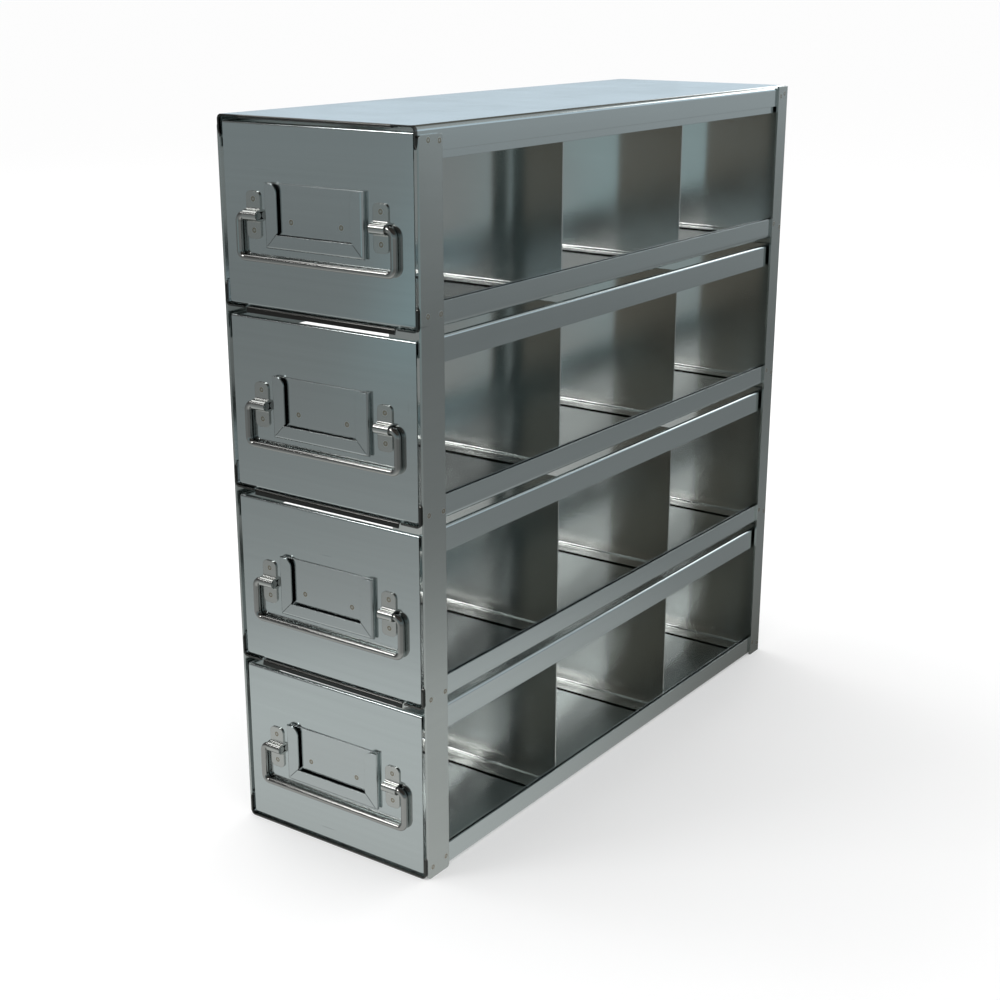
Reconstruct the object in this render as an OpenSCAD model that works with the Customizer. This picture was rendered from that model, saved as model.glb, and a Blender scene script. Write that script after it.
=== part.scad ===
// Drawer rack for an upright laboratory freezer: an open frame of bent stainless sheet
// with four pull-out drawers, each split into three compartments for storage boxes.
// +X is to the right seen from the front, -Y is the front, +Z is up.
// The origin is at the centre of the footprint, on the surface the rack stands on.

/* [Drawer] */
// Outside width of a drawer
drawer_w = 135; // [130:1:160]
// Depth of a drawer from its front face to the back of its rear wall
drawer_d = 426.8; // [380:0.1:450]
// Height of a drawer front
front_h = 103.4; // [95:0.1:115]
// Sheet thickness of the drawers
drawer_t = 0.8; // [0.6:0.1:1]
// Inside radius of the bends from the floor up to the front and the side lips
tray_bend_in = 1.2; // [0.8:0.1:1.6]
// Height of the side lips bent up from the floor
lip_h = 13.4; // [10:0.1:18]
// Distance of the side lips from the front face
lip_setback = 3.4; // [3:0.1:5]
// Inside radius of the fold along the top edge of the front
front_fold_in = 0.7; // [0.4:0.1:1]
// Length of the leg folded down behind the front's top edge
front_fold_leg = 8; // [5:0.5:12]

/* [Rims and dividers] */
// Height of the side rims
rim_h = 15.2; // [12:0.1:20]
// Distance of a rim's outer face past the side of the floor
rim_out = 1.1; // [0.2:0.1:1.2]
// Inside radius of the fold along a rim's top edge
rim_fold_in = 1; // [0.4:0.1:1.2]
// Length of the leg folded down inside a rim
rim_fold_leg = 7; // [4:0.5:9]
// Length of the foot that a divider stands on
foot_w = 16; // [10:0.5:25]
// Distance of a divider's top edge below the drawer's top edge
divider_drop = 1; // [0.5:0.1:4]
// Distance of a divider's foot from the side lips' bends
foot_side_gap = 0.6; // [0.4:0.1:3]
// Distance of a divider's corner notch below the leg folded inside a rim
notch_gap = 0.3; // [0.2:0.1:1]

/* [Label holder] */
// Width of the label holder
holder_w = 71; // [60:0.5:76]
// Height of the label holder
holder_h = 36.2; // [30:0.1:42]
// Height of the label holder's lower edge above the drawer's underside
holder_z = 34.8; // [33:0.1:38]
// Sheet thickness of the label holder
holder_t = 0.8; // [0.6:0.1:1]
// Inside radius of the folds around the label
holder_fold_in = 0.8; // [0.6:0.1:1]
// Width of the flanges at the sides of the label
holder_side_w = 9; // [8:0.5:12]
// Width of the flange under the label
holder_foot_w = 8; // [6:0.5:10]
// Radius of the side flanges' upper inner corners
holder_corner_r = 5; // [2:0.5:6]
// Width of the slits at the mitred corners
holder_slit = 0.3; // [0.2:0.05:0.6]

/* [Handle] */
// Diameter of the wire of the folding handle
wire_d = 4; // [3:0.1:5]
// Gap between the wire and the drawer front
wire_gap = 0.3; // [0.3:0.05:0.6]
// Running clearance around the wire in its clips
wire_clear = 0.08; // [0.05:0.01:0.1]
// Bend radius of the wire along its middle
wire_bend_r = 4; // [3:0.1:6]
// Straight length of wire between a clip and the bend beside it
leg_straight = 0.7; // [0.3:0.1:3]
// Gap between the label holder and the handle's bar below it
bar_gap = 4.4; // [3:0.1:8]
// Distance of the pivot below the label holder's middle
pivot_drop = 0.5; // [0:0.1:1]

/* [Handle clips] */
// Gap between the label holder and a clip
clip_gap = 5; // [3:0.1:6]
// Width of a clip
clip_w = 10.4; // [8:0.1:11]
// Height of a clip
clip_h = 26.5; // [22:0.5:30]
// Sheet thickness of a clip
clip_t = 0.9; // [0.7:0.1:1.2]
// Corner radius of the clips' tabs
clip_corner_r = 3; // [1:0.5:4]
// Fillet radius where the tabs meet the arch
clip_fillet_r = 1.2; // [0.5:0.1:2]

/* [Frame] */
// Sheet thickness of the shelves and the top panel
deck_t = 1; // [0.8:0.1:1.5]
// Inside radius of the bends between a shelf and its flanges
deck_bend_in = 2; // [0.8:0.1:2.2]
// Height of the shelves' side flanges
flange_h = 14.2; // [10:0.1:20]
// Height of the top panel's side flanges
top_flange_h = 14; // [10:0.1:20]
// Radius of the shelf flanges' free corners at the front
flange_corner_r = 3; // [1:0.5:5]
// Radius of the top panel flanges' free corners at the front
top_corner_r = 6; // [1:0.5:8]
// Clearance at each side of a drawer
side_clear = 1.5; // [1.2:0.1:3]
// Running clearance under a drawer
floor_clear = 0.1; // [0.1:0.05:0.5]
// Clearance between a drawer's top edge and the lip of the shelf above it
head_clear = 2.1; // [1:0.1:5]
// Clearance between the top drawer and the fold of the top panel
top_clear = 1.3; // [0.8:0.1:5]
// Space behind the drawers in front of the rear posts' back legs
rear_clear = 1.3; // [0.8:0.1:20]
// Distance of the drawer fronts behind the shelves' front edges
front_inset = 1.4; // [0:0.1:4]
// Distance from the rack's side to the lip bent down at a shelf's front edge
deck_lip_margin = 16; // [12:0.5:25]
// Height of that lip below the shelf's underside
deck_lip_drop = 2.6; // [2:0.1:4]
// Inside radius of the lip's bend
deck_lip_in = 0.6; // [0.5:0.1:1.8]
// Lean of that lip in degrees, its lower edge forward
deck_lip_lean = 12; // [0:1:15]
// Width of the relief notches beside the lip
relief_w = 2; // [1:0.5:4]
// Depth of the relief notches
relief_d = 4; // [3.5:0.5:6]
// Depth of the fold under the top panel's front edge
top_fold_d = 8; // [5:0.5:12]

/* [Posts] */
// Sheet thickness of the posts
post_t = 1.5; // [1:0.1:2]
// Width of the front posts
front_post_w = 20; // [16:0.5:30]
// Distance of the front posts behind the shelves' front edges
post_inset = 1.2; // [0:0.1:4]
// Corner radius of the front posts
post_corner_r = 2; // [1:0.1:4]
// Distance of the front posts' tops below the top panel's surface
front_post_drop = 4.9; // [2:0.1:8]
// Width of the rear posts' side legs
rear_side_w = 15; // [12:0.5:25]
// Width of the rear posts' back legs
rear_back_w = 28; // [12:0.5:40]
// Inside radius of the rear posts' bends
rear_bend_in = 0.5; // [0.3:0.1:1]
// Distance of the rear posts' tops below the top panel's surface
rear_post_drop = 0.5; // [0:0.1:4]

/* [Hidden] */
$fn = 64;
sheet_color = [0.72, 0.74, 0.75];
wire_color = [0.82, 0.83, 0.84];
over = 1;
rack_w = drawer_w + 2 * (side_clear + deck_t);
rack_d = front_inset + drawer_d + rear_clear + post_t;
drawer_rise = deck_t + floor_clear;
drawer_top = drawer_rise + front_h;
level_pitch = drawer_top + head_clear + deck_lip_drop;
rack_h = 3 * level_pitch + drawer_top + top_clear + 2 * deck_t;
deck_d = rack_d - post_t;
tray_bend_r = tray_bend_in + drawer_t;
front_fold_r = front_fold_in + drawer_t;
rim_fold_r = rim_fold_in + drawer_t;
rim_start = 2 * front_fold_r;
rim_x = drawer_w / 2 + rim_out;
divider_pitch = (drawer_d - drawer_t) / 3;
holder_fold_r = holder_fold_in + holder_t;
clip_x = holder_w / 2 + clip_gap + clip_w / 2;
leg_x = clip_x + clip_w / 2 + leg_straight + wire_bend_r;
pivot_z = holder_z + holder_h / 2 - pivot_drop;
handle_drop = pivot_z - holder_z + bar_gap + wire_d / 2;
pivot_y = wire_d / 2 + wire_gap;
saddle_in = wire_d / 2 + wire_clear;
saddle_out = saddle_in + clip_t;
front_reach = pivot_y + saddle_out - front_inset;
front_y = (front_reach - rack_d) / 2;
deck_lip_r = deck_lip_in + deck_t;
deck_lip_leg = (deck_lip_drop - deck_lip_in + deck_lip_in * sin(deck_lip_lean)) / cos(deck_lip_lean);
deck_lip_y = deck_lip_r * cos(deck_lip_lean) + deck_lip_leg * sin(deck_lip_lean);
deck_lip_w = rack_w - 2 * deck_lip_margin;

// Ring of a bent sheet, a quarter turn between +X and +Y
module quarter_ring(outer, t) {
  intersection() {
    difference() {
      circle(r = outer);
      circle(r = outer - t);
    }
    square(outer + over);
  }
}

// Ring of a folded sheet, the half on the +Y side
module half_ring(outer, t) {
  intersection() {
    difference() {
      circle(r = outer);
      circle(r = outer - t);
    }
    translate([-outer - over, 0])
      square([2 * (outer + over), outer + over]);
  }
}

// Rectangle with four round corners, centred
module round_rect(w, h, r) {
  square([w, h - 2 * r], center = true);
  square([w - 2 * r, h], center = true);
  for (x = [-1, 1], y = [-1, 1])
    translate([x * (w / 2 - r), y * (h / 2 - r)])
      circle(r = r);
}

// What is left of a square corner outside its rounding, with the corner at the origin
module corner_offcut(r) {
  difference() {
    translate([-over, -over])
      square(r + over);
    translate([r, r])
      circle(r = r);
  }
}

// Cross-section of a sheet bent up along both sides, standing on the X axis
module channel(w, h, t, bend_in) {
  r = bend_in + t;
  translate([-w / 2 + r, 0])
    square([w - 2 * r, t]);
  for (side = [-1, 1])
    scale([side, 1]) {
      translate([w / 2 - t, r])
        square([t, h - r]);
      translate([w / 2 - r, r])
        rotate(-90)
          quarter_ring(r, t);
    }
}

// Drawn in X and Z, running back from the front by the length
module along_y(length) {
  translate([0, length, 0])
    rotate([90, 0, 0])
      linear_extrude(height = length)
        children();
}

// Drawn in Y and Z, centred over the width in X
module along_x(width) {
  translate([-width / 2, 0, 0])
    rotate([90, 0, 90])
      linear_extrude(height = width)
        children();
}

// Place in the frame, measured from the shelves' front edges
module in_frame(y, z) {
  translate([0, front_y + y, z])
    children();
}

// Place in drawer n, counted from the top, measured from its front face and underside
module in_drawer(n) {
  in_frame(front_inset, (4 - n) * level_pitch + drawer_rise)
    children();
}

// Shelf with upturned flanges
module deck_channel() {
  difference() {
    along_y(deck_d)
      channel(rack_w, flange_h, deck_t, deck_bend_in);
    translate([0, 0, flange_h])
      mirror([0, 0, 1])
        along_x(rack_w + 2 * over)
          corner_offcut(flange_corner_r);
  }
}

// Shelf with a lip bent down along the middle of its front edge
module lipped_deck() {
  difference() {
    deck_channel();
    translate([-deck_lip_w / 2, -over, -over])
      cube([deck_lip_w, deck_lip_y + over, deck_t + 2 * over]);
    for (side = [-1, 1])
      translate([side * (deck_lip_w + relief_w) / 2 - relief_w / 2, -over, -over])
        cube([relief_w, relief_d + over, deck_t + 2 * over]);
  }
  along_x(deck_lip_w)
    translate([deck_lip_y, -deck_lip_in])
      deck_lip();
}

// Cross-section of that lip around the axis of its bend
module deck_lip() {
  reach = 2 * deck_lip_r;
  intersection() {
    rotate(90)
      quarter_ring(deck_lip_r, deck_t);
    polygon([
      [0, 0],
      [0, reach],
      [-reach, reach],
      [-reach * cos(deck_lip_lean), reach * sin(deck_lip_lean)]
    ]);
  }
  rotate(-deck_lip_lean)
    translate([-deck_lip_r, -deck_lip_leg])
      square([deck_t, deck_lip_leg]);
}

// Top panel with flanges bent down and its front edge folded under
module top_deck() {
  difference() {
    along_y(deck_d)
      rotate(180)
        channel(rack_w, top_flange_h, deck_t, deck_bend_in);
    translate([0, 0, -top_flange_h])
      along_x(rack_w + 2 * over)
        corner_offcut(top_corner_r);
    translate([-deck_lip_w / 2, -over, -deck_t - over])
      cube([deck_lip_w, deck_t + over, deck_t + 2 * over]);
  }
  along_x(deck_lip_w) {
    translate([deck_t, -deck_t])
      intersection() {
        circle(r = deck_t);
        translate([-deck_t - over, -deck_t - over])
          square([deck_t + over, 2 * (deck_t + over)]);
      }
    translate([deck_t, -2 * deck_t])
      square([top_fold_d - deck_t, deck_t]);
  }
}

// Flat front post on the side given by its sign
module front_post(side) {
  post_h = rack_h - front_post_drop;
  translate([side * (rack_w + post_t) / 2, front_post_w / 2, post_h / 2])
    along_x(post_t)
      round_rect(front_post_w, post_h, post_corner_r);
}

// Right rear post, an angle bent around the rear corner
module rear_post() {
  post_h = rack_h - rear_post_drop;
  r = rear_bend_in + post_t;
  outer_x = rack_w / 2 + post_t;
  linear_extrude(height = post_h) {
    translate([outer_x - post_t, rack_d - rear_side_w])
      square([post_t, rear_side_w - r]);
    translate([outer_x - rear_back_w, rack_d - post_t])
      square([rear_back_w - r, post_t]);
    translate([outer_x - r, rack_d - r])
      quarter_ring(r, post_t);
  }
}

// Floor with side lips and the front bent up from it, its top edge folded back
module tray() {
  lip_gap = lip_setback - tray_bend_r;
  difference() {
    translate([0, tray_bend_r, 0])
      along_y(drawer_d - tray_bend_r)
        channel(drawer_w, lip_h, drawer_t, tray_bend_in);
    for (side = [-1, 1])
      translate([side * (drawer_w - tray_bend_r + over) / 2, lip_setback - lip_gap - over, -over])
        translate([-(tray_bend_r + over) / 2, 0, 0])
          cube([tray_bend_r + over, lip_gap + over, lip_h + 2 * over]);
  }
  along_x(drawer_w - 2 * drawer_t)
    translate([tray_bend_r, tray_bend_r])
      rotate(180)
        quarter_ring(tray_bend_r, drawer_t);
  along_x(drawer_w) {
    translate([0, tray_bend_r])
      square([drawer_t, front_h - front_fold_r - tray_bend_r]);
    translate([front_fold_r, front_h - front_fold_r])
      half_ring(front_fold_r, drawer_t);
    translate([2 * front_fold_r - drawer_t, front_h - front_fold_r - front_fold_leg])
      square([drawer_t, front_fold_leg]);
  }
}

// Right side rim, its top edge folded inward
module rim() {
  translate([0, rim_start, 0])
    along_y(drawer_d - rim_start) {
      translate([rim_x - drawer_t, front_h - rim_h])
        square([drawer_t, rim_h - rim_fold_r]);
      translate([rim_x - rim_fold_r, front_h - rim_fold_r])
        half_ring(rim_fold_r, drawer_t);
      translate([rim_x - 2 * rim_fold_r, front_h - rim_fold_r - rim_fold_leg])
        square([drawer_t, rim_fold_leg]);
    }
}

// Cross wall on a foot, with ears that meet the rims, its back at the given number of compartments from the front
module cross_wall(compartments) {
  foot_l = drawer_w - 2 * (tray_bend_r + foot_side_gap);
  wall_w = drawer_w - 2 * drawer_t;
  ear_w = 2 * (rim_x - drawer_t);
  ear_z = front_h - rim_h;
  neck_w = 2 * (rim_x - 2 * rim_fold_r);
  neck_z = front_h - rim_fold_r - rim_fold_leg - notch_gap;
  bend_z = drawer_t + tray_bend_r;
  translate([0, compartments * divider_pitch, 0]) {
    along_y(drawer_t) {
      translate([-wall_w / 2, bend_z])
        square([wall_w, neck_z - bend_z]);
      translate([-ear_w / 2, ear_z])
        square([ear_w, neck_z - ear_z]);
      translate([-neck_w / 2, bend_z])
        square([neck_w, front_h - divider_drop - bend_z]);
    }
    along_x(foot_l) {
      translate([drawer_t - tray_bend_r, bend_z])
        rotate(-90)
          quarter_ring(tray_bend_r, drawer_t);
      translate([drawer_t - foot_w, drawer_t])
        square([foot_w - tray_bend_r, drawer_t]);
    }
  }
}

// Plate with flanges folded around the label at both sides and below
module label_holder() {
  plate_w = holder_w - 2 * holder_fold_r;
  translate([0, 0, holder_z]) {
    translate([-plate_w / 2, -holder_t, holder_fold_r])
      cube([plate_w, holder_t, holder_h - holder_fold_r]);
    difference() {
      union() {
        difference() {
          holder_sides();
          holder_mitre();
        }
        intersection() {
          holder_foot();
          holder_mitre();
        }
      }
      holder_slits();
    }
  }
}

// Flanges at both sides, with round upper inner corners
module holder_sides() {
  for (side = [-1, 1])
    scale([side, 1, 1])
      difference() {
        linear_extrude(height = holder_h)
          translate([holder_w / 2 - holder_fold_r, 0]) {
            translate([-over, -holder_t])
              square([over, holder_t]);
            translate([0, -holder_fold_r])
              rotate(-90)
                half_ring(holder_fold_r, holder_t);
            translate([holder_fold_r - holder_side_w, -2 * holder_fold_r])
              square([holder_side_w - holder_fold_r, holder_t]);
          }
        translate([holder_w / 2 - holder_side_w, -holder_t, holder_h])
          rotate([90, 0, 0])
            linear_extrude(height = 2 * holder_fold_r)
              scale([1, -1])
                corner_offcut(holder_corner_r);
      }
}

// Flange below the label
module holder_foot() {
  along_x(holder_w)
    translate([0, holder_fold_r]) {
      translate([-holder_t, 0])
        square([holder_t, over]);
      translate([-holder_fold_r, 0])
        rotate(180)
          half_ring(holder_fold_r, holder_t);
      translate([-2 * holder_fold_r, 0])
        square([holder_t, holder_foot_w - holder_fold_r]);
    }
}

// Share of the label holder's folds that belongs to the flange below the label
module holder_mitre() {
  mitre = holder_side_w + over;
  half_w = holder_w / 2;
  translate([0, over, 0])
    rotate([90, 0, 0])
      linear_extrude(height = 2 * (holder_fold_r + over))
        polygon([
          [-half_w - over, -over],
          [half_w + over, -over],
          [half_w - mitre, mitre],
          [mitre - half_w, mitre]
        ]);
}

// Slits along the mitred corners
module holder_slits() {
  for (side = [-1, 1])
    scale([side, 1, 1])
      translate([holder_w / 2, over, 0])
        rotate([90, -45, 0])
          translate([-holder_slit / 2, -over])
            cube([holder_slit, 2 * holder_side_w, 2 * (holder_fold_r + over)]);
}

// Strap clip arched over the handle's wire, centred on the pivot
module clip() {
  intersection() {
    along_x(clip_w)
      difference() {
        union() {
          translate([-clip_t, -clip_h / 2])
            square([clip_t, clip_h]);
          translate([-pivot_y, 0])
            circle(r = saddle_out);
          translate([-pivot_y, -saddle_out])
            square([pivot_y, 2 * saddle_out]);
          for (side = [-1, 1])
            scale([1, side])
              translate([-clip_t, saddle_out])
                scale([-1, 1])
                  corner_offcut_inner(clip_fillet_r);
        }
        translate([-pivot_y, 0])
          circle(r = saddle_in);
        translate([-pivot_y, -saddle_in])
          square([pivot_y + over, 2 * saddle_in]);
      }
    rotate([90, 0, 0])
      translate([0, 0, -over])
        linear_extrude(height = pivot_y + saddle_out + 2 * over)
          round_rect(clip_w, clip_h, clip_corner_r);
  }
}

// Concave fillet between two faces that meet at the origin
module corner_offcut_inner(r) {
  difference() {
    square(r);
    translate([r, r])
      circle(r = r);
  }
}

// Folding handle bent from wire, hanging down from its pivot
module handle() {
  pin_x = clip_x - clip_w / 2;
  bend_x = leg_x - wire_bend_r;
  for (turn = [0, 180])
    rotate([0, 0, turn]) {
      translate([pin_x, 0, 0])
        rotate([0, 90, 0])
          cylinder(h = bend_x - pin_x, d = wire_d);
      translate([bend_x, 0, -wire_bend_r])
        rotate([90, 0, 0])
          wire_bend();
      translate([leg_x, 0, wire_bend_r - handle_drop])
        cylinder(h = handle_drop - 2 * wire_bend_r, d = wire_d);
      translate([bend_x, 0, wire_bend_r - handle_drop])
        rotate([90, 0, 0])
          rotate([0, 0, -90])
            wire_bend();
    }
  translate([-bend_x, 0, -handle_drop])
    rotate([0, 90, 0])
      cylinder(h = 2 * bend_x, d = wire_d);
}

// Quarter turn of the wire between +X and +Y
module wire_bend() {
  rotate_extrude(angle = 90)
    translate([wire_bend_r, 0])
      circle(d = wire_d);
}

// Place of the handle's pivot in the middle of drawer n's front
module at_pivot(n) {
  in_drawer(n)
    translate([0, 0, pivot_z])
      children();
}

module top_panel() { color(sheet_color) in_frame(0, rack_h) top_deck(); }
module shelf_1() { color(sheet_color) in_frame(0, 3 * level_pitch) lipped_deck(); }
module shelf_2() { color(sheet_color) in_frame(0, 2 * level_pitch) lipped_deck(); }
module shelf_3() { color(sheet_color) in_frame(0, level_pitch) lipped_deck(); }
module bottom_shelf() { color(sheet_color) in_frame(0, 0) deck_channel(); }
module front_post_left() { color(sheet_color) in_frame(post_inset, 0) front_post(-1); }
module front_post_right() { color(sheet_color) in_frame(post_inset, 0) front_post(1); }
module rear_post_left() { color(sheet_color) in_frame(0, 0) mirror([1, 0, 0]) rear_post(); }
module rear_post_right() { color(sheet_color) in_frame(0, 0) rear_post(); }

module drawer_tray(n) { color(sheet_color) in_drawer(n) tray(); }
module drawer_wall(n, compartments) { color(sheet_color) in_drawer(n) cross_wall(compartments); }
module drawer_rim(n, side) { color(sheet_color) in_drawer(n) scale([side, 1, 1]) rim(); }
module drawer_label_holder(n) { color(sheet_color) in_drawer(n) label_holder(); }
module drawer_clip(n, side) { color(sheet_color) at_pivot(n) translate([side * clip_x, 0, 0]) clip(); }
module drawer_handle(n) { color(wire_color) at_pivot(n) translate([0, -pivot_y, 0]) handle(); }

top_panel();
shelf_1();
shelf_2();
shelf_3();
bottom_shelf();
front_post_left();
front_post_right();
rear_post_left();
rear_post_right();
drawer_tray(1);  // drawer_1_tray
drawer_wall(1, 1);  // drawer_1_divider_front
drawer_wall(1, 2);  // drawer_1_divider_rear
drawer_wall(1, 3);  // drawer_1_rear_wall
drawer_rim(1, -1);  // drawer_1_rim_left
drawer_rim(1, 1);  // drawer_1_rim_right
drawer_label_holder(1);  // drawer_1_label_holder
drawer_clip(1, -1);  // drawer_1_clip_left
drawer_clip(1, 1);  // drawer_1_clip_right
drawer_handle(1);  // drawer_1_handle
drawer_tray(2);  // drawer_2_tray
drawer_wall(2, 1);  // drawer_2_divider_front
drawer_wall(2, 2);  // drawer_2_divider_rear
drawer_wall(2, 3);  // drawer_2_rear_wall
drawer_rim(2, -1);  // drawer_2_rim_left
drawer_rim(2, 1);  // drawer_2_rim_right
drawer_label_holder(2);  // drawer_2_label_holder
drawer_clip(2, -1);  // drawer_2_clip_left
drawer_clip(2, 1);  // drawer_2_clip_right
drawer_handle(2);  // drawer_2_handle
drawer_tray(3);  // drawer_3_tray
drawer_wall(3, 1);  // drawer_3_divider_front
drawer_wall(3, 2);  // drawer_3_divider_rear
drawer_wall(3, 3);  // drawer_3_rear_wall
drawer_rim(3, -1);  // drawer_3_rim_left
drawer_rim(3, 1);  // drawer_3_rim_right
drawer_label_holder(3);  // drawer_3_label_holder
drawer_clip(3, -1);  // drawer_3_clip_left
drawer_clip(3, 1);  // drawer_3_clip_right
drawer_handle(3);  // drawer_3_handle
drawer_tray(4);  // drawer_4_tray
drawer_wall(4, 1);  // drawer_4_divider_front
drawer_wall(4, 2);  // drawer_4_divider_rear
drawer_wall(4, 3);  // drawer_4_rear_wall
drawer_rim(4, -1);  // drawer_4_rim_left
drawer_rim(4, 1);  // drawer_4_rim_right
drawer_label_holder(4);  // drawer_4_label_holder
drawer_clip(4, -1);  // drawer_4_clip_left
drawer_clip(4, 1);  // drawer_4_clip_right
drawer_handle(4);  // drawer_4_handle
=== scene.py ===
import math

import bmesh
import bpy
from mathutils import Matrix, Vector


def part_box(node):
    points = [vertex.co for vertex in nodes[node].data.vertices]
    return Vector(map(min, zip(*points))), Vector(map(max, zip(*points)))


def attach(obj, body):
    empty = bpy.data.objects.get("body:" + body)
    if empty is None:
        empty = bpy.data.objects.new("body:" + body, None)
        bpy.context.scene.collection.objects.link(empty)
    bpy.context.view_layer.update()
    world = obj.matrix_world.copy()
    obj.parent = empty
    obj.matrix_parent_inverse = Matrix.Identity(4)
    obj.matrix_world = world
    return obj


MM = 0.001
CLIP_THICKNESS = 0.9 * MM
HOLDER_THICKNESS = 0.8 * MM
RACK_HALF_WIDTH = 71.5 * MM
SHELF_HALF_DEPTH = 213.6 * MM
DRAWERS = (1, 2, 3, 4)

CAMERA_BEARING = math.radians(35.22)
CAMERA_ELEVATION = math.radians(17.65)
CAMERA_ROLL = math.radians(0.07)
CAMERA_LENS = 58.42
CAMERA_PLACE = (0.5927, -0.87836, 0.5043)

# Radius of each ring of a spot weld and its height over the sheet, in mm
WELD_RINGS = ((0.4, 0.022), (0.8, 0.020), (1.05, 0.036), (1.3, 0.044), (1.5, 0.024), (1.7, 0.004))
WELD_CORNERS = 20
WELD_MIDDLE = 0.022

# Distance of the posts' welds behind the shelves' front edges and over the floor, in mm
FRONT_POST_WELDS = ((9.0, 427.7), (18.6, 426.9), (7.1, 335.9), (18.5, 335.6), (5.8, 225.1),
                    (19.0, 224.4), (5.5, 114.6), (19.0, 115.0), (5.4, 6.9), (18.1, 8.2))
REAR_POST_WELDS = ((419.3, 428.2), (424.8, 430.0), (418.1, 338.3), (427.4, 334.8), (418.6, 229.2),
                   (426.6, 225.9), (418.3, 119.6), (426.9, 116.4), (418.6, 9.6), (426.4, 6.6))

# Places of the welds on a label holder and of those over and under a clip's saddle, in mm
HOLDER_WELDS_ACROSS = (-18.0, 18.0)
HOLDER_WELD_LIFT = 15.5
CLIP_WELD_LIFTS = (-8.6, 8.8)

BARE_STEEL = (0.59, 0.64, 0.64)
BRIGHT_EDGE = (0.74, 0.75, 0.74)

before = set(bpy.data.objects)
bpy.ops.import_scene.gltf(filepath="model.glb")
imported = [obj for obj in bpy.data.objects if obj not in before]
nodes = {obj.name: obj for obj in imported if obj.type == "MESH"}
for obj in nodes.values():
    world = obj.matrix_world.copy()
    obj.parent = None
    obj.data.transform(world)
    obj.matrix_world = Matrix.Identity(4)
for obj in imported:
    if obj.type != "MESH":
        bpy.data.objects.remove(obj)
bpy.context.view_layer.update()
scene = bpy.context.scene


def set_camera():
    lens = bpy.data.cameras.new("photo_camera")
    lens.sensor_width = 36.0
    lens.lens = CAMERA_LENS
    lens.clip_start = 0.01
    lens.clip_end = 200.0
    camera = bpy.data.objects.new("photo_camera", lens)
    scene.collection.objects.link(camera)
    level = math.cos(CAMERA_ELEVATION)
    back = Vector((math.sin(CAMERA_BEARING) * level, -math.cos(CAMERA_BEARING) * level,
                   math.sin(CAMERA_ELEVATION)))
    right = Vector((math.cos(CAMERA_BEARING), math.sin(CAMERA_BEARING), 0.0))
    turn = Matrix((right, back.cross(right), back)).transposed() @ Matrix.Rotation(CAMERA_ROLL, 3, "Z")
    camera.matrix_world = Matrix.Translation(CAMERA_PLACE) @ turn.to_4x4()
    scene.camera = camera


def put(tree, kind, **settings):
    node = tree.nodes.new(kind)
    for name, value in settings.items():
        setattr(node, name, value)
    return node


def wire_up(tree, source, target):
    tree.links.new(source, target)


def reckon(tree, operation, first, second):
    node = put(tree, "ShaderNodeMath", operation=operation)
    for socket, value in zip(node.inputs, (first, second)):
        if isinstance(value, (int, float)):
            socket.default_value = value
        else:
            wire_up(tree, value, socket)
    return node.outputs["Value"]


def ramp_of(tree, source, stops, near=(1.0, 1.0, 1.0), far=(1.0, 1.0, 1.0)):
    ramp = put(tree, "ShaderNodeValToRGB")
    wire_up(tree, source, ramp.inputs["Fac"])
    elements = ramp.color_ramp.elements
    elements[0].position, elements[1].position = stops[0][0], stops[-1][0]
    for position, level in stops[1:-1]:
        elements.new(position)
    for element, (position, level) in zip(elements, stops):
        tint = [a + (b - a) * position for a, b in zip(near, far)]
        element.color = (*[level * part for part in tint], 1.0)
    return ramp.outputs["Color"]


def step_of(tree, source, low, high):
    step = put(tree, "ShaderNodeMapRange", interpolation_type="SMOOTHSTEP")
    step.inputs["From Min"].default_value = low
    step.inputs["From Max"].default_value = high
    wire_up(tree, source, step.inputs["Value"])
    return step.outputs["Result"]


def blend(tree, factor, first, second):
    mix = put(tree, "ShaderNodeMix", data_type="RGBA")
    wire_up(tree, factor, mix.inputs["Factor"])
    for socket, value in ((mix.inputs[6], first), (mix.inputs[7], second)):
        if isinstance(value, tuple):
            socket.default_value = (*value, 1.0)
        else:
            wire_up(tree, value, socket)
    return mix.outputs[2]


def new_group(name, inputs, outputs):
    group = bpy.data.node_groups.new(name, "ShaderNodeTree")
    for socket_name, kind, value in inputs:
        socket = group.interface.new_socket(socket_name, in_out="INPUT", socket_type=kind)
        socket.default_value = value
    for socket_name, kind in outputs:
        group.interface.new_socket(socket_name, in_out="OUTPUT", socket_type=kind)
    return group, put(group, "NodeGroupInput"), put(group, "NodeGroupOutput")


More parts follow.
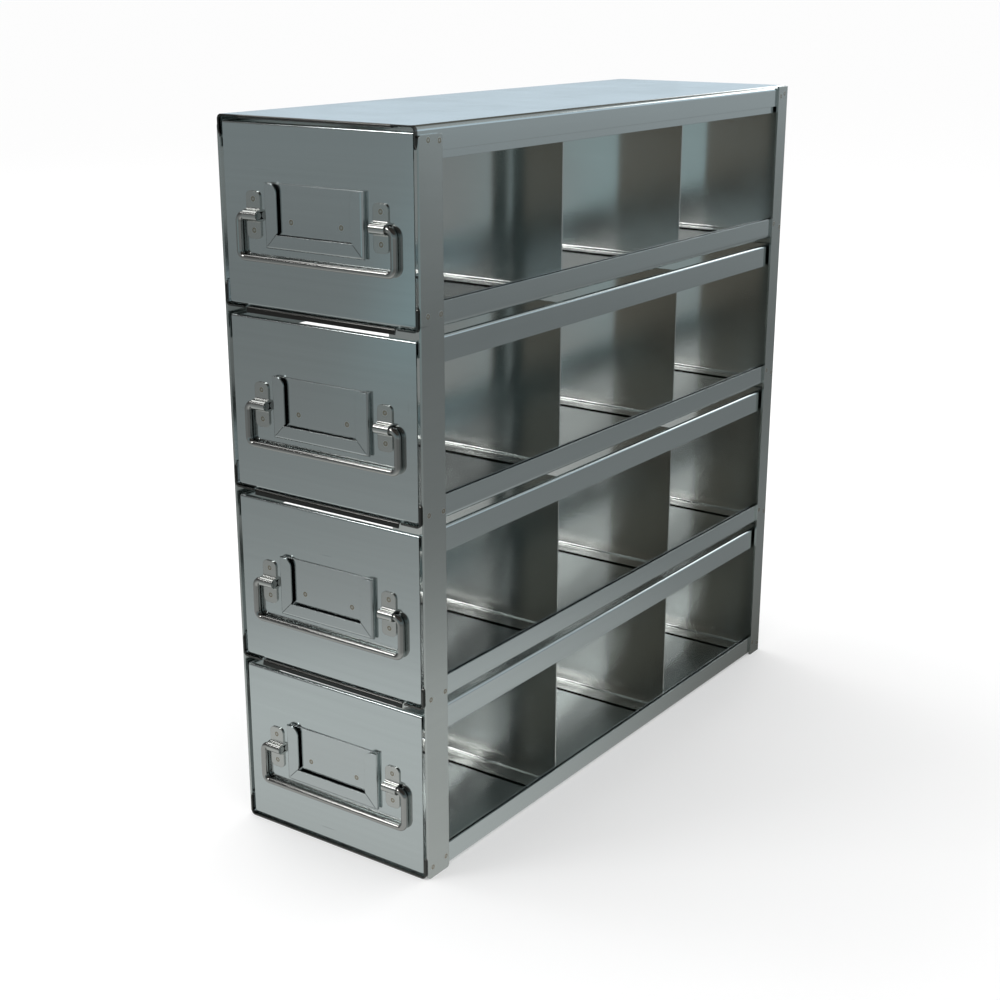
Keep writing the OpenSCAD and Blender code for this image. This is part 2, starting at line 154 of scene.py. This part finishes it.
# Fine lines and broader streaks of the brushed finish, level on walls and lengthwise on decks
def brushed_grain_group():
    group, given, out = new_group(
        "brushed_grain",
        [("Lines per metre", "NodeSocketFloat", 2600.0), ("Line stretch", "NodeSocketFloat", 14.0)],
        [("Lines", "NodeSocketFloat"), ("Streaks", "NodeSocketFloat")])
    place = put(group, "ShaderNodeTexCoord")
    facing = put(group, "ShaderNodeSeparateXYZ")
    wire_up(group, place.outputs["Normal"], facing.inputs["Vector"])
    upward = reckon(group, "GREATER_THAN", reckon(group, "ABSOLUTE", facing.outputs["Z"], 0.0), 0.7)
    xyz = put(group, "ShaderNodeSeparateXYZ")
    wire_up(group, place.outputs["Object"], xyz.inputs["Vector"])
    fine, long = given.outputs["Lines per metre"], given.outputs["Line stretch"]
    walls = put(group, "ShaderNodeCombineXYZ")
    decks = put(group, "ShaderNodeCombineXYZ")
    for target, rates in ((walls, (long, long, fine)), (decks, (fine, long, long))):
        for axis, rate in zip("XYZ", rates):
            wire_up(group, reckon(group, "MULTIPLY", xyz.outputs[axis], rate), target.inputs[axis])
    pick = put(group, "ShaderNodeMix", data_type="VECTOR")
    wire_up(group, upward, pick.inputs["Factor"])
    wire_up(group, walls.outputs["Vector"], pick.inputs[4])
    wire_up(group, decks.outputs["Vector"], pick.inputs[5])
    lines = put(group, "ShaderNodeTexNoise")
    lines.inputs["Scale"].default_value = 1.0
    lines.inputs["Detail"].default_value = 2.0
    wire_up(group, pick.outputs[1], lines.inputs["Vector"])
    coarse = put(group, "ShaderNodeVectorMath", operation="MULTIPLY")
    coarse.inputs[1].default_value = (0.25, 0.25, 0.12)
    wire_up(group, pick.outputs[1], coarse.inputs[0])
    streaks = put(group, "ShaderNodeTexNoise")
    streaks.inputs["Scale"].default_value = 1.0
    streaks.inputs["Detail"].default_value = 3.0
    wire_up(group, coarse.outputs["Vector"], streaks.inputs["Vector"])
    wire_up(group, lines.outputs["Fac"], out.inputs["Lines"])
    wire_up(group, streaks.outputs["Fac"], out.inputs["Streaks"])
    return group


# Smears and short scratches from use
def handling_marks_group():
    group, given, out = new_group(
        "handling_marks",
        [("Smear size", "NodeSocketFloat", 22.0), ("Scratch count", "NodeSocketFloat", 0.5)],
        [("Smears", "NodeSocketFloat"), ("Scratches", "NodeSocketFloat")])
    place = put(group, "ShaderNodeTexCoord")
    smears = put(group, "ShaderNodeTexNoise")
    smears.inputs["Detail"].default_value = 5.0
    smears.inputs["Roughness"].default_value = 0.62
    wire_up(group, place.outputs["Object"], smears.inputs["Vector"])
    wire_up(group, given.outputs["Smear size"], smears.inputs["Scale"])
    wire_up(group, smears.outputs["Fac"], out.inputs["Smears"])
    found = None
    lays = (((0.5, 0.35, 0.2), (520.0, 26.0, 26.0)), ((-0.3, 1.1, -0.6), (26.0, 26.0, 610.0)))
    for turn, stretch in lays:
        lay = put(group, "ShaderNodeMapping")
        lay.inputs["Rotation"].default_value = turn
        lay.inputs["Scale"].default_value = stretch
        wire_up(group, place.outputs["Object"], lay.inputs["Vector"])
        dash = put(group, "ShaderNodeTexNoise")
        dash.inputs["Scale"].default_value = 1.0
        dash.inputs["Detail"].default_value = 0.0
        wire_up(group, lay.outputs["Vector"], dash.inputs["Vector"])
        eased = reckon(group, "MULTIPLY", given.outputs["Scratch count"], 0.1)
        limit = reckon(group, "SUBTRACT", 0.92, eased)
        over = reckon(group, "MULTIPLY", reckon(group, "SUBTRACT", dash.outputs["Fac"], limit), 30.0)
        mark = put(group, "ShaderNodeClamp")
        wire_up(group, over, mark.inputs["Value"])
        dashes = mark.outputs["Result"]
        found = dashes if found is None else reckon(group, "MAXIMUM", found, dashes)
    wire_up(group, found, out.inputs["Scratches"])
    return group


# Rounded sheet edges and a mask along them
def deburred_edges_group():
    group, given, out = new_group(
        "deburred_edges",
        [("Edge radius", "NodeSocketFloat", 0.3 * MM)],
        [("Edge", "NodeSocketFloat"), ("Normal", "NodeSocketVector")])
    bevel = put(group, "ShaderNodeBevel", samples=6)
    wire_up(group, given.outputs["Edge radius"], bevel.inputs["Radius"])
    flat = put(group, "ShaderNodeNewGeometry")
    agree = put(group, "ShaderNodeVectorMath", operation="DOT_PRODUCT")
    wire_up(group, bevel.outputs["Normal"], agree.inputs[0])
    wire_up(group, flat.outputs["Normal"], agree.inputs[1])
    edge = put(group, "ShaderNodeMapRange")
    edge.inputs["From Min"].default_value = 0.995
    edge.inputs["From Max"].default_value = 0.8
    wire_up(group, agree.outputs["Value"], edge.inputs["Value"])
    wire_up(group, edge.outputs["Result"], out.inputs["Edge"])
    wire_up(group, bevel.outputs["Normal"], out.inputs["Normal"])
    return group


# Slow unevenness of thin sheet
def sheet_waves_group():
    group, given, out = new_group(
        "sheet_waves",
        [("Waves per metre", "NodeSocketFloat", 9.0)],
        [("Height", "NodeSocketFloat")])
    place = put(group, "ShaderNodeTexCoord")
    waves = put(group, "ShaderNodeTexNoise")
    waves.inputs["Detail"].default_value = 1.0
    wire_up(group, place.outputs["Object"], waves.inputs["Vector"])
    wire_up(group, given.outputs["Waves per metre"], waves.inputs["Scale"])
    wire_up(group, waves.outputs["Fac"], out.inputs["Height"])
    return group


GRAIN = brushed_grain_group()
MARKS = handling_marks_group()
EDGES = deburred_edges_group()
WAVES = sheet_waves_group()


def use_group(tree, group, **values):
    node = put(tree, "ShaderNodeGroup", node_tree=group)
    for name, value in values.items():
        node.inputs[name.replace("_", " ")].default_value = value
    return node


def new_material(name):
    material = bpy.data.materials.new(name)
    material.use_nodes = True
    return material, material.node_tree, material.node_tree.nodes["Principled BSDF"]


# Bare stainless sheet or wire: brushed, a little smeared and scratched, with deburred edges
def stainless(name, tone, roughness, grain, spread, wave, edge_tone=BRIGHT_EDGE, anisotropic=0.0):
    material, tree, shader = new_material(name)
    shader.inputs["Metallic"].default_value = 1.0
    shader.inputs["Anisotropic"].default_value = anisotropic
    shader.inputs["Anisotropic Rotation"].default_value = 0.25
    lines = use_group(tree, GRAIN)
    marks = use_group(tree, MARKS)
    edges = use_group(tree, EDGES)
    waves = use_group(tree, WAVES)

    darker = tuple(part * (1.0 - 0.07 * grain) for part in tone)
    lighter = tuple(min(1.0, part * (1.0 + 0.06 * grain)) for part in tone)
    scratch_tone = tuple(part * 0.72 for part in tone)
    shade = blend(tree, lines.outputs["Streaks"], darker, lighter)
    # Edges blend to edge_tone: a lighter worn tone by default, a painted shade where a dark edge_tone is
    # given
    edge_wear_and_shade = blend(tree, reckon(tree, "MULTIPLY", edges.outputs["Edge"], 0.55), shade, edge_tone)
    scored = blend(tree, reckon(tree, "MULTIPLY", marks.outputs["Scratches"], 0.6), edge_wear_and_shade, scratch_tone)
    wire_up(tree, scored, shader.inputs["Base Color"])

    sheen = put(tree, "ShaderNodeMapRange")
    sheen.inputs["From Min"].default_value = 0.3
    sheen.inputs["From Max"].default_value = 0.7
    sheen.inputs["To Min"].default_value = roughness - spread
    sheen.inputs["To Max"].default_value = roughness + spread
    wire_up(tree, marks.outputs["Smears"], sheen.inputs["Value"])
    finer = reckon(tree, "MULTIPLY", reckon(tree, "SUBTRACT", lines.outputs["Lines"], 0.5), 0.10 * grain)
    rough = reckon(tree, "ADD", reckon(tree, "ADD", sheen.outputs["Result"], finer),
                   reckon(tree, "MULTIPLY", edges.outputs["Edge"], 0.06))
    wire_up(tree, rough, shader.inputs["Roughness"])

    sway = put(tree, "ShaderNodeBump")
    sway.inputs["Strength"].default_value = 1.0
    sway.inputs["Distance"].default_value = wave
    wire_up(tree, waves.outputs["Height"], sway.inputs["Height"])
    wire_up(tree, edges.outputs["Normal"], sway.inputs["Normal"])
    brush = put(tree, "ShaderNodeBump")
    brush.inputs["Strength"].default_value = 0.12 * grain
    brush.inputs["Distance"].default_value = 0.02 * MM
    height = reckon(tree, "SUBTRACT", lines.outputs["Lines"],
                    reckon(tree, "MULTIPLY", marks.outputs["Scratches"], 0.8))
    wire_up(tree, height, brush.inputs["Height"])
    wire_up(tree, sway.outputs["Normal"], brush.inputs["Normal"])
    wire_up(tree, brush.outputs["Normal"], shader.inputs["Normal"])
    return material


# Painted shade: a dark tone over the front share of a piece, standing in for the shade and dark reflections
# along shelf lips, the top panel's front fold and divider feet
def paint_front_edge_shade(material, share, tone):
    tree = material.node_tree
    shader = tree.nodes["Principled BSDF"]
    finish = shader.inputs["Base Color"].links[0].from_socket
    place = put(tree, "ShaderNodeTexCoord")
    axes = put(tree, "ShaderNodeSeparateXYZ")
    wire_up(tree, place.outputs["Generated"], axes.inputs["Vector"])
    zone = put(tree, "ShaderNodeMapRange")
    zone.inputs["From Min"].default_value = share
    zone.inputs["From Max"].default_value = 0.6 * share
    wire_up(tree, axes.outputs["Y"], zone.inputs["Value"])
    wire_up(tree, blend(tree, zone.outputs["Result"], finish, tone), shader.inputs["Base Color"])


def dress(node, material):
    node.data.materials.clear()
    node.data.materials.append(material)


# Heat tint of a spot weld, by the distance from its centre
def weld_tint():
    material, tree, shader = new_material("spot_weld_tint")
    shader.inputs["Metallic"].default_value = 1.0
    place = put(tree, "ShaderNodeUVMap", uv_map="from_centre")
    reach = put(tree, "ShaderNodeSeparateXYZ")
    wire_up(tree, place.outputs["UV"], reach.inputs["Vector"])
    marks = use_group(tree, MARKS, Smear_size=420.0)
    wander = reckon(tree, "MULTIPLY", reckon(tree, "SUBTRACT", marks.outputs["Smears"], 0.5), 0.35)
    radius = reckon(tree, "ADD", reach.outputs["Y"], wander)
    tint = put(tree, "ShaderNodeValToRGB")
    ramp = tint.color_ramp
    ramp.elements[0].position = 0.0
    ramp.elements[0].color = (0.58, 0.60, 0.58, 1.0)
    ramp.elements[1].position = 1.0
    ramp.elements[1].color = (0.60, 0.63, 0.62, 1.0)
    for position, colour in ((0.4, (0.46, 0.45, 0.41)), (0.62, (0.22, 0.18, 0.12)),
                             (0.76, (0.34, 0.29, 0.21)), (0.9, (0.52, 0.53, 0.50))):
        ramp.elements.new(position).color = (*colour, 1.0)
    wire_up(tree, radius, tint.inputs["Fac"])
    wire_up(tree, tint.outputs["Color"], shader.inputs["Base Color"])
    rough = put(tree, "ShaderNodeMapRange")
    rough.inputs["To Min"].default_value = 0.26
    rough.inputs["To Max"].default_value = 0.46
    wire_up(tree, marks.outputs["Smears"], rough.inputs["Value"])
    wire_up(tree, rough.outputs["Result"], shader.inputs["Roughness"])
    return material


# Shallow ringed dimples at the given places, as one piece that rides on a body
def spot_welds(name, body, places, material):
    mesh = bpy.data.meshes.new(name)
    shape = bmesh.new()
    spread = shape.loops.layers.uv.new("from_centre")
    reach_of = {}
    for centre, outward, across in places:
        up = outward.cross(across)
        middle = shape.verts.new(centre + outward * WELD_MIDDLE * MM)
        reach_of[middle] = 0.0
        last = None
        for radius, height in WELD_RINGS:
            ring = []
            for step in range(WELD_CORNERS):
                angle = 2.0 * math.pi * step / WELD_CORNERS
                spot = centre + (across * math.cos(angle) + up * math.sin(angle)) * radius * MM
                vertex = shape.verts.new(spot + outward * height * MM)
                reach_of[vertex] = radius / WELD_RINGS[-1][0]
                ring.append(vertex)
            for step in range(WELD_CORNERS):
                following = (step + 1) % WELD_CORNERS
                if last is None:
                    shape.faces.new((middle, ring[step], ring[following]))
                else:
                    shape.faces.new((last[step], ring[step], ring[following], last[following]))
            last = ring
    for face in shape.faces:
        face.smooth = True
        for loop in face.loops:
            loop[spread].uv = (0.5, reach_of[loop.vert])
    shape.to_mesh(mesh)
    shape.free()
    mesh.materials.append(material)
    piece = bpy.data.objects.new(name, mesh)
    scene.collection.objects.link(piece)
    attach(piece, body)


set_camera()

front_sheet = stainless("brushed_front_sheet", BARE_STEEL, 0.13, grain=0.6, spread=0.02,
                        wave=0.00005, anisotropic=0.6)
divider_sheet = stainless("divider_sheet", (0.68, 0.70, 0.68), 0.135, grain=0.3, spread=0.015,
                          wave=0.00002, anisotropic=0.95)
rim_strip = stainless("rim_strip", BARE_STEEL, 0.15, grain=0.4, spread=0.02, wave=0.00008)
shelf_sheet = stainless("shelf_sheet", BARE_STEEL, 0.14, grain=0.4, spread=0.03, wave=0.00008)
# Painted shade: dark front edges on the divider feet and on the shelves' and top panel's front lips
paint_front_edge_shade(divider_sheet, 0.05, (0.03, 0.03, 0.03))
paint_front_edge_shade(shelf_sheet, 0.006, (0.10, 0.10, 0.095))
post_strip = stainless("post_strip", (0.53, 0.56, 0.545), 0.18, grain=0.4, spread=0.03, wave=0.00008)
holder_sheet = stainless("label_holder_sheet", (0.57, 0.61, 0.61), 0.13, grain=0.4, spread=0.02,
                         wave=0.00008)
# Painted shade: the clip's edges take a dark tone standing in for the contact shadows and gaps around the
# straps
clip_strap = stainless("clip_strap", (0.55, 0.56, 0.54), 0.16, grain=0.3, spread=0.03, wave=0.0,
                       edge_tone=(0.24, 0.24, 0.23))
spot_tint = weld_tint()
# Painted shade: the wire's tone is set well below bare steel, standing in for its shade and dark
# reflections
handle_wire = stainless("handle_wire", (0.42, 0.42, 0.405), 0.09, grain=0.2, spread=0.03, wave=0.0)

for name, node in nodes.items():
    if "post" in name:
        dress(node, post_strip)
    elif name.endswith("_tray"):
        dress(node, front_sheet)
    elif "divider" in name or "rear_wall" in name:
        dress(node, divider_sheet)
    elif "rim" in name:
        dress(node, rim_strip)
    elif "label_holder" in name:
        dress(node, holder_sheet)
    elif "clip" in name:
        dress(node, clip_strap)
    elif "handle" in name:
        dress(node, handle_wire)
    else:
        dress(node, shelf_sheet)


def weld_frame(tint):
    deck_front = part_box("bottom_shelf")[0][1]
    places = []
    for side, name in ((1.0, "right"), (-1.0, "left")):
        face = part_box("front_post_" + name)[1 if side > 0 else 0][0]
        for depth, height in FRONT_POST_WELDS + REAR_POST_WELDS:
            depth += 0.0 if side > 0 else 0.6 * math.sin(height)
            spot = Vector((face, deck_front + depth * MM, height * MM))
            places.append((spot, Vector((side, 0.0, 0.0)), Vector((0.0, side, 0.0))))
    spot_welds("frame_spot_welds", "frame", places, tint)


def weld_drawer(number, tint):
    drawer = "drawer_%d" % number
    outward, across = Vector((0.0, -1.0, 0.0)), Vector((1.0, 0.0, 0.0))
    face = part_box(drawer + "_tray")[0][1]
    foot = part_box(drawer + "_label_holder")[0][2]
    sway = 0.5 * math.sin(7.0 * number)
    places = []
    for x in HOLDER_WELDS_ACROSS:
        lift = HOLDER_WELD_LIFT + 0.4 * sway
        spot = Vector(((x + sway) * MM, face - HOLDER_THICKNESS, foot + lift * MM))
        places.append((spot, outward, across))
    for side in ("left", "right"):
        low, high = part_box(drawer + "_clip_" + side)
        middle, pivot = (low[0] + high[0]) / 2.0, (low[2] + high[2]) / 2.0
        for lift in CLIP_WELD_LIFTS:
            height = pivot + (lift + 0.3 * sway) * MM
            spot = Vector((middle + 0.6 * sway * MM, face - CLIP_THICKNESS, height))
            places.append((spot, outward, across))
    spot_welds(drawer + "_spot_welds", drawer, places, tint)


weld_frame(spot_tint)
for number in DRAWERS:
    weld_drawer(number, spot_tint)


# Pale floor for the camera; mirrored rays see a painted glow on it instead: a painted pool of light near
# the rack that dims with distance, and a painted shadow at the left rear
def set_floor():
    bpy.ops.mesh.primitive_plane_add(size=160.0)
    floor = bpy.context.object
    floor.name = "floor"
    material, tree, shader = new_material("pale_floor")
    shader.inputs["Base Color"].default_value = (0.78, 0.78, 0.78, 1.0)
    shader.inputs["Roughness"].default_value = 0.9
    shader.inputs["Specular IOR Level"].default_value = 0.0
    path = put(tree, "ShaderNodeLightPath")
    lift = put(tree, "ShaderNodeEmission")
    wire_up(tree, reckon(tree, "MULTIPLY", path.outputs["Is Camera Ray"], 0.2), lift.inputs["Strength"])
    seen = put(tree, "ShaderNodeAddShader")
    wire_up(tree, shader.outputs["BSDF"], seen.inputs[0])
    wire_up(tree, lift.outputs["Emission"], seen.inputs[1])

    where = put(tree, "ShaderNodeNewGeometry")
    xyz = put(tree, "ShaderNodeSeparateXYZ")
    wire_up(tree, where.outputs["Position"], xyz.inputs["Vector"])
    x, y = xyz.outputs["X"], xyz.outputs["Y"]
    off_x, off_y = reckon(tree, "ABSOLUTE", x, 0.0), reckon(tree, "ABSOLUTE", y, 0.0)
    beside = reckon(tree, "MAXIMUM", reckon(tree, "SUBTRACT", off_x, RACK_HALF_WIDTH), 0.0)
    ahead = reckon(tree, "MAXIMUM", reckon(tree, "SUBTRACT", off_y, SHELF_HALF_DEPTH), 0.0)
    reach = reckon(tree, "SQRT", reckon(tree, "ADD", reckon(tree, "MULTIPLY", beside, beside),
                                        reckon(tree, "MULTIPLY", ahead, ahead)), 0.0)
    share = reckon(tree, "SQRT", reckon(tree, "DIVIDE", reach, 6.0), 0.0)
    # Painted pool of light: bright near the rack and dim far away, seen only by mirrored rays
    fore = ramp_of(tree, share, ((0.0, 0.58), (0.158, 0.63), (0.191, 0.60), (0.22, 0.49), (0.253, 0.41),
                                 (0.297, 0.355), (0.387, 0.29), (0.447, 0.26), (0.516, 0.24), (0.606, 0.24),
                                 (0.73, 0.275), (1.0, 0.28)),
                   near=(0.98, 1.0, 0.985), far=(0.90, 1.0, 1.03))
    slant = reckon(tree, "DIVIDE", off_x, reckon(tree, "MAXIMUM", off_y, 0.01))
    frontal = reckon(tree, "MULTIPLY", step_of(tree, slant, 0.74, 0.62), step_of(tree, reach, 0.8, 1.8))
    fore = blend(tree, frontal, fore, (0.29, 0.39, 0.41))
    side = ramp_of(tree, share, ((0.0, 0.26), (0.29, 0.25), (0.387, 0.225), (0.465, 0.21), (0.577, 0.27),
                                 (0.753, 0.31), (1.0, 0.42)), near=(0.96, 1.0, 1.0), far=(0.92, 1.0, 1.03))
    pool = ramp_of(tree, share, ((0.0, 0.55), (0.15, 0.54), (0.17, 0.51), (0.2, 0.43), (0.25, 0.32),
                                 (0.29, 0.25), (0.387, 0.225), (0.465, 0.21), (0.577, 0.27),
                                 (0.753, 0.31), (1.0, 0.42)),
                   near=(0.97, 1.0, 0.985), far=(0.92, 1.0, 1.03))
    right = blend(tree, step_of(tree, y, -0.05, 0.42), pool, side)
    # Painted shadow: the floor at the left rear glows dark for mirrored rays
    left = blend(tree, step_of(tree, y, -0.25, 0.25), fore, (0.115, 0.112, 0.102))
    tone = blend(tree, step_of(tree, x, 0.03, 0.2), left, right)
    painted_floor_glow = put(tree, "ShaderNodeEmission")
    wire_up(tree, tone, painted_floor_glow.inputs["Color"])
    choose = put(tree, "ShaderNodeMixShader")
    wire_up(tree, path.outputs["Is Glossy Ray"], choose.inputs["Fac"])
    wire_up(tree, seen.outputs["Shader"], choose.inputs[1])
    wire_up(tree, painted_floor_glow.outputs["Emission"], choose.inputs[2])
    wire_up(tree, choose.outputs["Shader"], tree.nodes["Material Output"].inputs["Surface"])
    dress(floor, material)


def softbox(name, place, width, height, power):
    lamp = bpy.data.lights.new(name, "AREA")
    lamp.shape = "RECTANGLE"
    lamp.size = width
    lamp.size_y = height
    lamp.energy = power
    box = bpy.data.objects.new(name, lamp)
    box.location = place
    box.visible_camera = False
    scene.collection.objects.link(box)
    aim = Vector((0.0, 0.0, 0.25)) - box.location
    box.rotation_euler = aim.to_track_quat("-Z", "Y").to_euler()


# White surround and three softboxes; mirrored rays see a graded, dim room
def set_light():
    world = bpy.data.worlds.new("studio")
    scene.world = world
    world.use_nodes = True
    tree = world.node_tree
    sky = tree.nodes["Background"]
    sky.inputs["Strength"].default_value = 1.0
    path = put(tree, "ShaderNodeLightPath")
    way = put(tree, "ShaderNodeTexCoord")
    xyz = put(tree, "ShaderNodeSeparateXYZ")
    wire_up(tree, way.outputs["Generated"], xyz.inputs["Vector"])
    across, along, height = xyz.outputs["X"], xyz.outputs["Y"], xyz.outputs["Z"]
    dim = blend(tree, step_of(tree, height, 0.3, 0.45), (0.20, 0.25, 0.265), (0.06, 0.055, 0.05))
    lit = ramp_of(tree, height, ((0.0, 0.28), (0.1, 0.27), (0.2, 0.36), (0.30, 0.58), (0.43, 0.62),
                                 (0.5, 0.06), (1.0, 0.06)))
    shaded = ramp_of(tree, height, ((0.0, 0.17), (0.1, 0.15), (0.2, 0.12), (0.3, 0.10), (0.43, 0.12),
                                    (0.5, 0.06), (1.0, 0.06)))
    ahead = reckon(tree, "MAXIMUM", reckon(tree, "MULTIPLY", along, -1.0), 0.05)
    aside = reckon(tree, "DIVIDE", reckon(tree, "MULTIPLY", across, -1.0), ahead)
    front = blend(tree, step_of(tree, aside, 0.66, 0.72), lit, shaded)
    front = blend(tree, step_of(tree, across, -0.35, -0.1), front, dim)
    above = blend(tree, step_of(tree, across, -0.1, 0.2), (0.12, 0.115, 0.10), (0.40, 0.42, 0.42))
    backdrop = blend(tree, step_of(tree, height, 0.15, 0.36), (0.64, 0.755, 0.84), above)
    room = blend(tree, step_of(tree, along, -0.1, 0.45), front, backdrop)
    colour = blend(tree, path.outputs["Is Glossy Ray"], (1.0, 1.0, 1.0), room)
    wire_up(tree, colour, sky.inputs["Color"])
    softbox("back_softbox", (0.1, 2.0, 1.05), 1.8, 0.5, 6.0)
    softbox("front_softbox", (-1.2, -1.75, 1.65), 0.8, 0.4, 9.0)
    softbox("left_softbox", (-1.75, 0.15, 2.1), 2.0, 1.5, 14.0)


# Painted shade: a dark card at the left rear that glows dimly and that only the steel mirrors
def set_flag():
    shape = bmesh.new()
    corners = [(-0.37, 0.05, 0.0), (-0.37, 0.85, 0.0), (-0.37, 0.85, 0.452), (-0.37, 0.05, 0.452)]
    shape.faces.new([shape.verts.new(corner) for corner in corners])
    mesh = bpy.data.meshes.new("dark_flag")
    shape.to_mesh(mesh)
    shape.free()
    flag = bpy.data.objects.new("dark_flag", mesh)
    scene.collection.objects.link(flag)
    flag.visible_camera = False
    flag.visible_diffuse = False
    flag.visible_shadow = False
    material, tree, shader = new_material("painted_shade_card")
    shader.inputs["Base Color"].default_value = (0.0, 0.0, 0.0, 1.0)
    shader.inputs["Specular IOR Level"].default_value = 0.0
    # Dim glow that sets the tone of the painted shade in the steel's reflections
    shader.inputs["Emission Color"].default_value = (0.155, 0.143, 0.123, 1.0)
    shader.inputs["Emission Strength"].default_value = 1.0
    dress(flag, material)


set_floor()
set_flag()
set_light()
scene.view_settings.view_transform = "Standard"
